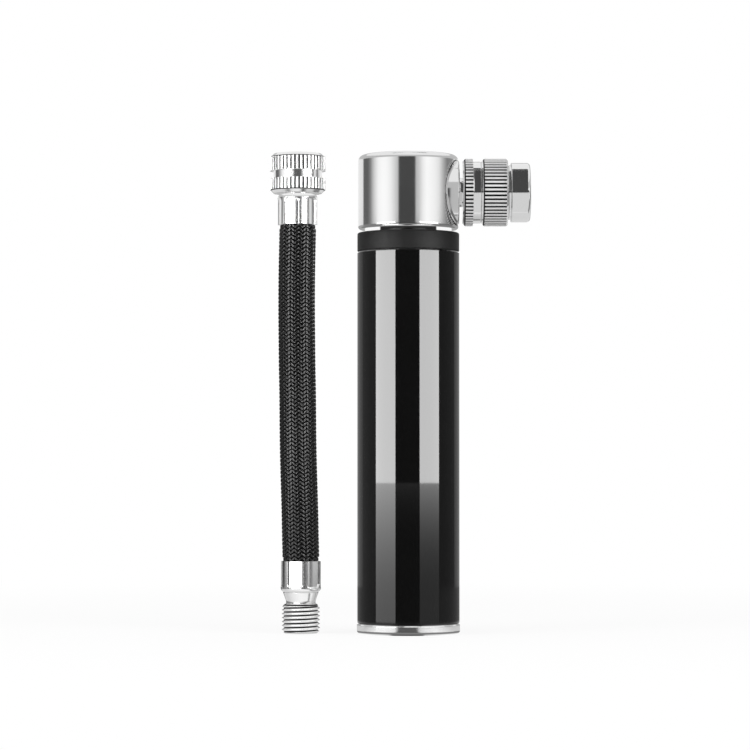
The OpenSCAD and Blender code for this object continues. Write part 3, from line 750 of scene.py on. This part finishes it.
HOSE_ENDS = ("hose_tail", "swivel_nut", "nut_gasket", "nut_depressor")
sleeve, route = braided_hose()
rubber_tube = inner_hose(route)
fitting = male_fitting()
crimps = [
    ferrule("lower_crimp", "lower_ferrule", HOSE_X, LOWER_FERRULE_Z, 1),
    ferrule("upper_crimp", "upper_ferrule", NUT_X, UPPER_FERRULE_Z, -1),
]
nut_thread = socket_thread("hose_nut_thread", 3.6, into_nut, "hose_metal", "hose_nut")
socket_thread("chuck_socket_thread", 6.6, into_chuck, "chuck_metal", "chuck")
valve_spring()
[fitting, rubber_tube, nut_thread, *crimps] + [nodes[name] for name in HOSE_ENDS]

# The pump and the hose are pictured apart, so neither is mirrored in the other
for piece in [sleeve, rubber_tube, fitting, nut_thread, *crimps]:
    piece.visible_glossy = False
for name, node in nodes.items():
    node.visible_glossy = name in ("pump_head", "outlet_nipple", "chuck_sleeve", "chuck_nose")

for row in frame["record"]["subparts"]:
    skin = nodes[row["node"]].data
    skin.materials.clear()
    skin.materials.append(finishes[row["material_slot"]])


# Stage

# Light of the slats between the bright ones, and of what the boss and the chuck see
SLAT_LEVEL = 0.06
BOSS_LEVEL = 0.6
CHUCK_LEVEL = 0.78

# Lines of light are told apart by where they pass the pump's axis, in millimetres: above HEAD_FOOT they come
# from the head or the chuck, and the other steps are distances from the axis. Each step is a soft one.
HEAD_FOOT = (82.2, 82.8)
HEAD_SIDE = (10.5, 11)
BOSS_SIDE = (8, 8.5)
CHUCK_SIDE = (10.8, 11)

# How bright the room is round the head, by azimuth
ROOM_LEVELS = [
    (-180, 0.95), (-127, 0.95), (-123, 0.14), (-105, 0.14), (-96, 0.27), (-83, 0.81), (-72, 1.14),
    (-61, 1.22), (-51, 1.2), (-41, 1.08), (-31, 0.82), (-24, 0.65), (-21, 0.07), (14, 0.07), (17, 0.62),
    (24, 0.76), (33, 1.07), (42, 1.22), (52, 1.17), (62, 1.1), (73, 0.95), (85, 0.55), (98, 0.25),
    (113, 0.3), (123, 0.36), (128, 0.95), (180, 0.95),
]

# How bright the floor is round the base, by azimuth
FLOOR_LEVELS = [
    (-180, 0.6), (-127, 0.7), (-110, 0.75), (-96, 0.7), (-83, 0.85), (-61, 1.1), (-31, 0.95), (-24, 0.8),
    (-19, 0.12), (15, 0.12), (19, 0.75), (30, 0.95), (52, 1.1), (73, 0.95), (96, 0.75), (127, 0.7),
    (180, 0.6),
]


def seen_ray(tree):
    """1 for rays that show a surface: straight to the camera, by reflection or by transmission."""
    path = tree.add("ShaderNodeLightPath", out="Is Camera Ray")
    return path.most(path.other("Is Glossy Ray")).most(path.other("Is Transmission Ray"))


def stage_mesh(name, verts, faces, material):
    mesh = bpy.data.meshes.new(name)
    mesh.from_pydata(verts, [], faces)
    mesh.materials.append(material)
    sheet = new_piece(name, mesh)
    return sheet


def disc(radius, height):
    """The points and the one face of a flat round sheet."""
    sides = 64
    angles = np.linspace(0, 2 * np.pi, sides, endpoint=False)
    verts = [(radius * math.cos(a), radius * math.sin(a), height) for a in angles]
    return verts, [list(range(sides))]


def pale_floor():
    """A floor that takes soft shadows near the pump and is plain white further out."""
    radius, shadow_end, near_white = 3, (0.06, 0.3), 0.88
    material, tree = new_material("pale_floor")
    place = tree.add("ShaderNodeTexCoord", out="Object")
    far = tree.vector("LENGTH", place).other("Value").between(*shadow_end)
    lit = tree.add("ShaderNodeBsdfDiffuse", inputs={"Color": grey(0.9)})
    white = tree.add("ShaderNodeEmission", inputs={"Color": grey(1.0), "Strength": 1.0})
    share = seen_ray(tree) * (near_white + far * (1 - near_white))
    mixed = tree.add("ShaderNodeMixShader", inputs={0: share, 1: lit, 2: white})
    tree.add("ShaderNodeOutputMaterial", inputs={"Surface": mixed})
    stage_mesh("floor", *disc(radius, 0), material)


def white_room():
    """White where it is seen, and dimmer as a light."""
    world = bpy.data.worlds.new("white_room")
    scene.world = world
    world.use_nodes = True
    world.node_tree.nodes.clear()
    tree = Tree(world.node_tree)
    fill = tree.add("ShaderNodeBackground", inputs={"Color": grey(1.0), "Strength": 0.3})
    white = tree.add("ShaderNodeBackground", inputs={"Color": grey(1.0), "Strength": 1.0})
    mixed = tree.add("ShaderNodeMixShader", inputs={0: seen_ray(tree), 1: fill, 2: white})
    tree.add("ShaderNodeOutputWorld", inputs={"Surface": mixed})


def round_spot(azimuth, radius, height):
    """A place round the pump; azimuth 0 is towards the camera and grows to the right."""
    a = math.radians(azimuth)
    return Vector((radius * math.sin(a), -radius * math.cos(a), height))


def lamp_panel(name, place, target, width, height, radiance):
    """A flat lamp for matte surfaces, which reflections don't show."""
    lamp = bpy.data.lights.new(name, "AREA")
    lamp.shape = "RECTANGLE"
    lamp.size, lamp.size_y = width, height
    lamp.energy = radiance * math.pi * width * height
    panel = bpy.data.objects.new(name, lamp)
    scene.collection.objects.link(panel)
    panel.location = place
    panel.rotation_euler = (Vector(target) - Vector(place)).to_track_quat("-Z", "Y").to_euler()
    panel.visible_camera = panel.visible_glossy = panel.visible_transmission = False


def reflected(material, name, verts, faces):
    """A stage card that only reflections see."""
    card = stage_mesh(name, verts, faces, material)
    card.visible_camera = card.visible_diffuse = card.visible_transmission = False
    card.visible_shadow = card.visible_volume_scatter = False


def strip(rows):
    """Faces of a band of vertex pairs."""
    return [[2 * k, 2 * k + 1, 2 * k + 3, 2 * k + 2] for k in range(rows - 1)]


def round_card(name, material, start, end, radius, low, high):
    """An upright card bent round the pump, between two azimuths and two heights."""
    rows = 33
    azimuths = np.linspace(start, end, rows)
    verts = [round_spot(a, radius, z) for a in azimuths for z in (low, high)]
    reflected(material, name, verts, strip(rows))


def front_arch(name, material, sides, radius, height, top):
    """The dark front of the room, from a height up and over the pump."""
    rows = 25
    rises = np.radians(np.linspace(0, top, rows))
    verts = [
        (x, -radius * math.cos(rise), height + radius * math.sin(rise))
        for rise in rises for x in sides
    ]
    reflected(material, name, verts, strip(rows))


def axis_miss(tree):
    """How far a line of light passes from the pump's axis, in millimetres, below 0 on the left."""
    spot = tree.add("ShaderNodeNewGeometry", out="Position")
    level = tree.vector("NORMALIZE", tree.vector("MULTIPLY", spot.other("Incoming"), (1, 1, 0)))
    crossing = tree.vector("CROSS_PRODUCT", level, spot)
    return tree.add("ShaderNodeSeparateXYZ", inputs={"Vector": crossing}, out="Z") / MM


def axis_height(tree):
    """The height at which a line of light passes the pump's axis, in millimetres."""
    spot = tree.add("ShaderNodeNewGeometry", out="Position")
    way = spot.other("Incoming")
    level = tree.vector("MULTIPLY", way, (1, 1, 0))
    reach = tree.vector("DOT_PRODUCT", spot, level).other("Value")
    run = reach / tree.vector("DOT_PRODUCT", level, level).other("Value")
    start = tree.vector("SUBTRACT", spot, tree.vector("SCALE", way, Scale=run))
    return tree.add("ShaderNodeSeparateXYZ", inputs={"Vector": start}, out="Z") / MM


def glow(tree, colour):
    """Closes a card's material with light of one colour, but plain grey for lines from the boss on the
    head's side and, low in the room, from the chuck."""
    front_end, low_top = (-0.014, -0.01), (0.064, 0.068)
    spot = tree.add("ShaderNodeNewGeometry", out="Position")
    place = tree.add("ShaderNodeSeparateXYZ", inputs={"Vector": spot})
    front = 1 - place.other("Y").between(*front_end)
    low = 1 - place.other("Z").between(*low_top)
    upper = axis_height(tree).between(*HEAD_FOOT)
    right = axis_miss(tree)
    left = 0 - right
    boss = upper * front * left.between(*BOSS_SIDE) * (1 - left.between(*CHUCK_SIDE))
    chuck = upper * low * (left.between(*CHUCK_SIDE) + (1 - front) * right.between(*CHUCK_SIDE))
    seen = tree.blend(chuck, tree.blend(boss, colour, grey(BOSS_LEVEL)), grey(CHUCK_LEVEL))
    shader = tree.add("ShaderNodeEmission", inputs={"Color": seen, "Strength": 1.0})
    tree.add("ShaderNodeOutputMaterial", inputs={"Surface": shader})


def chuck_shade(name, level):
    """A dark glow for lines from the chuck, brighter for its knurls, and clear for lines from the head."""
    chuck_front, chuck_start, edge, lit_top = -4 * MM, (10.5, 10.8), 0.1, (0.2, 0.26)
    bands = CHUCK_KNURL[3]
    material, tree = new_material(name)
    spot = tree.add("ShaderNodeNewGeometry", out="Position")
    place = tree.add("ShaderNodeSeparateXYZ", inputs={"Vector": spot})
    way = tree.add("ShaderNodeSeparateXYZ", inputs={"Vector": spot.other("Incoming")})
    back = (chuck_front - place.other("Y")) / way.other("Y")
    along = (place.other("X") + way.other("X") * back) / MM
    knurl = sum(
        along.between(low - edge, low) * (1 - along.between(high, high + edge)) for low, high in bands
    )
    lit = tree.blend(place.other("Z").between(*lit_top), grey(1.3), grey(0.2))
    seen = tree.blend(knurl, grey(level), lit)
    dark = tree.add("ShaderNodeEmission", inputs={"Color": seen, "Strength": 1.0})
    clear = tree.add("ShaderNodeBsdfTransparent")
    mixed = tree.add("ShaderNodeMixShader", inputs={0: along.between(*chuck_start), 1: clear, 2: dark})
    tree.add("ShaderNodeOutputMaterial", inputs={"Surface": mixed})
    return material


def louvre(tree, low, high):
    """The slats of a panel: light leaves along lines that pass the pump's axis between two distances,
    or that pass by the hose, so the barrel's edges don't glare from behind."""
    soft = 0.5
    miss = axis_miss(tree)
    barrel = miss.between(low - soft, low) * (1 - miss.between(high, high + soft))
    return barrel + miss.between(*HEAD_SIDE)


def room_level(tree, place, levels):
    """The brightness in the direction of a place."""
    along = tree.add("ShaderNodeSeparateXYZ", inputs={"Vector": place})
    azimuth_share = along.maths("ARCTAN2", along, 0.0 - along.other("Y")) / (2 * math.pi) + 0.5
    ramp = tree.add("ShaderNodeValToRGB", inputs={"Fac": azimuth_share})
    steps = ramp.socket.node.color_ramp.elements
    while len(steps) < len(levels):
        steps.new(0.5)
    for step, (azimuth, level) in zip(steps, levels):
        step.position = azimuth / 360 + 0.5
        step.color = grey(level)
    return ramp


def even_glow(name, level):
    material, tree = new_material(name)
    glow(tree, grey(level))
    return material


def side_panel(name, level, hose_level):
    """A dim side of the room, with slats that send the hose's fittings more light than the barrel."""
    barrel_side = (4.5, 5.5)
    material, tree = new_material(name)
    outer = axis_miss(tree).magnitude().between(*barrel_side)
    glow(tree, tree.blend(outer, grey(hose_level), grey(level)))
    return material


def back_panel(name, level):
    """The back of the room: bright for lines through the gap under the head, but for the plunger's width,
    and dark for the hose."""
    plunger_side, gap_side, pump_side = (5.6, 5.9), (8.7, 9.0), (11.5, 12)
    plunger_level, gap_level, hose_level = 0.03, 1.05, 0.05
    material, tree = new_material(name)
    miss = axis_miss(tree).magnitude()
    gap = tree.blend(miss.between(*plunger_side), grey(plunger_level), grey(gap_level))
    beyond = tree.blend(miss.between(*pump_side), grey(level), grey(hose_level))
    glow(tree, tree.blend(miss.between(*gap_side), gap, beyond))
    return material


def bright_panel(name, level, low, high):
    """A panel that lights the barrel through slats; the head sees the room's own level there."""
    material, tree = new_material(name)
    barrel = tree.blend(louvre(tree, low, high), grey(SLAT_LEVEL), grey(level))
    place = tree.add("ShaderNodeTexCoord", out="Object")
    inner = 1 - axis_miss(tree).magnitude().between(*HEAD_SIDE)
    head = axis_height(tree).between(*HEAD_FOOT) * inner
    glow(tree, tree.blend(head, barrel, room_level(tree, place, ROOM_LEVELS)))
    return material


def rising_panel(name, foot, level, top, power, low, high):
    """A panel that is dim at the floor and brighter up to its top."""
    material, tree = new_material(name)
    place = tree.add("ShaderNodeTexCoord", out="Object")
    height = tree.add("ShaderNodeSeparateXYZ", inputs={"Vector": place}, out="Z")
    share = (height / top).most(0.0).least(1.0) ** power
    colour = tree.blend(share, grey(foot), grey(level))
    glow(tree, tree.blend(louvre(tree, low, high), grey(SLAT_LEVEL), colour))
    return material


def room_glow(name):
    """The upper room: its own levels round the head, and one grey above."""
    head_top, upper_level = (0.13, 0.15), 0.6
    material, tree = new_material(name)
    place = tree.add("ShaderNodeTexCoord", out="Object")
    height = tree.add("ShaderNodeSeparateXYZ", inputs={"Vector": place}, out="Z")
    levels = room_level(tree, place, ROOM_LEVELS)
    glow(tree, tree.blend(height.between(*head_top), levels, grey(upper_level)))
    return material


def floor_glow(name):
    """The floor in reflections: the room's own pattern by the foot, and dark further out."""
    foot_edge, ring_start, ring_end = (0.0102, 0.0106), (0.0125, 0.0145), (0.052, 0.058)
    steep_rise, outer_level, under_level = (0.94, 0.96), 0.25, 0.02
    material, tree = new_material(name)
    place = tree.add("ShaderNodeTexCoord", out="Object")
    out = tree.vector("LENGTH", place).other("Value")
    under = 1 - out.between(*foot_edge)
    lit = (under + out.between(*ring_start)) * (1 - out.between(*ring_end))
    seen = tree.blend(lit, grey(outer_level), room_level(tree, place, FLOOR_LEVELS))
    way = tree.add("ShaderNodeNewGeometry", out="Incoming")
    steep = tree.add("ShaderNodeSeparateXYZ", inputs={"Vector": way}, out="Z").between(*steep_rise)
    glow(tree, tree.blend(under * steep, seen, grey(under_level)))
    return material


def stage_set():
    pale_floor()
    white_room()
    middle = (0, 0, 0.05)
    lamp_panel("left_lamp", round_spot(-54, 0.5, 0.3), middle, 0.3, 0.3, 5.2)
    lamp_panel("right_lamp", round_spot(48, 0.5, 0.3), middle, 0.3, 0.3, 5.2)
    lamp_panel("top_lamp", (0, -0.05, 0.7), middle, 0.5, 0.5, 2.0)

    wall, split, ceiling = 0.25, 0.0987, 0.25
    back = back_panel("back_grey", 0.42)
    for name, material, start, end in (
        ("back_left", back, -180, -125),
        ("left", side_panel("left_dark", 0.26, 0.65), -125, -77.5),
        ("left_bright", bright_panel("left_panel", 13.8, -8, 0), -77.5, -29.4),
        ("front", even_glow("front_dark", SLAT_LEVEL), -29.4, 24.3),
        ("right_bright", bright_panel("right_panel", 13.1, 0, 8), 24.3, 71),
        ("right", side_panel("right_dark", 0.18, 0.65), 71, 125),
        ("back_right", back, 125, 180),
    ):
        round_card(name + "_card", material, start, end, wall, 0.0, split)
    round_card("room_card", room_glow("room_glow"), -180, 180, wall, split, ceiling)
    front_arch("front_arch", chuck_shade("arch_dark", 0.07), (-0.08, 0.08), 0.2, 0.09, 98)

    near, top = 0.06, 0.0304
    for name, foot, level, power, inner, outer, start, end in (
        ("left_low", 2.1, 7.4, 2, -8, 0, -72.7, -27.4),
        ("right_low", 0.5, 4.3, 3.5, 0, 8, 22.7, 66.5),
        ("front_low", 0.06, 0.36, 8, -8, 8, -27.4, 22.7),
    ):
        panel = rising_panel(name, foot, level, top, power, inner, outer)
        round_card(name + "_card", panel, start, end, near, 0.0, top)
    reflected(floor_glow("floor_glow"), "floor_card", *disc(wall, 0.02 * MM))


stage_set()

bpy.context.view_layer.update()
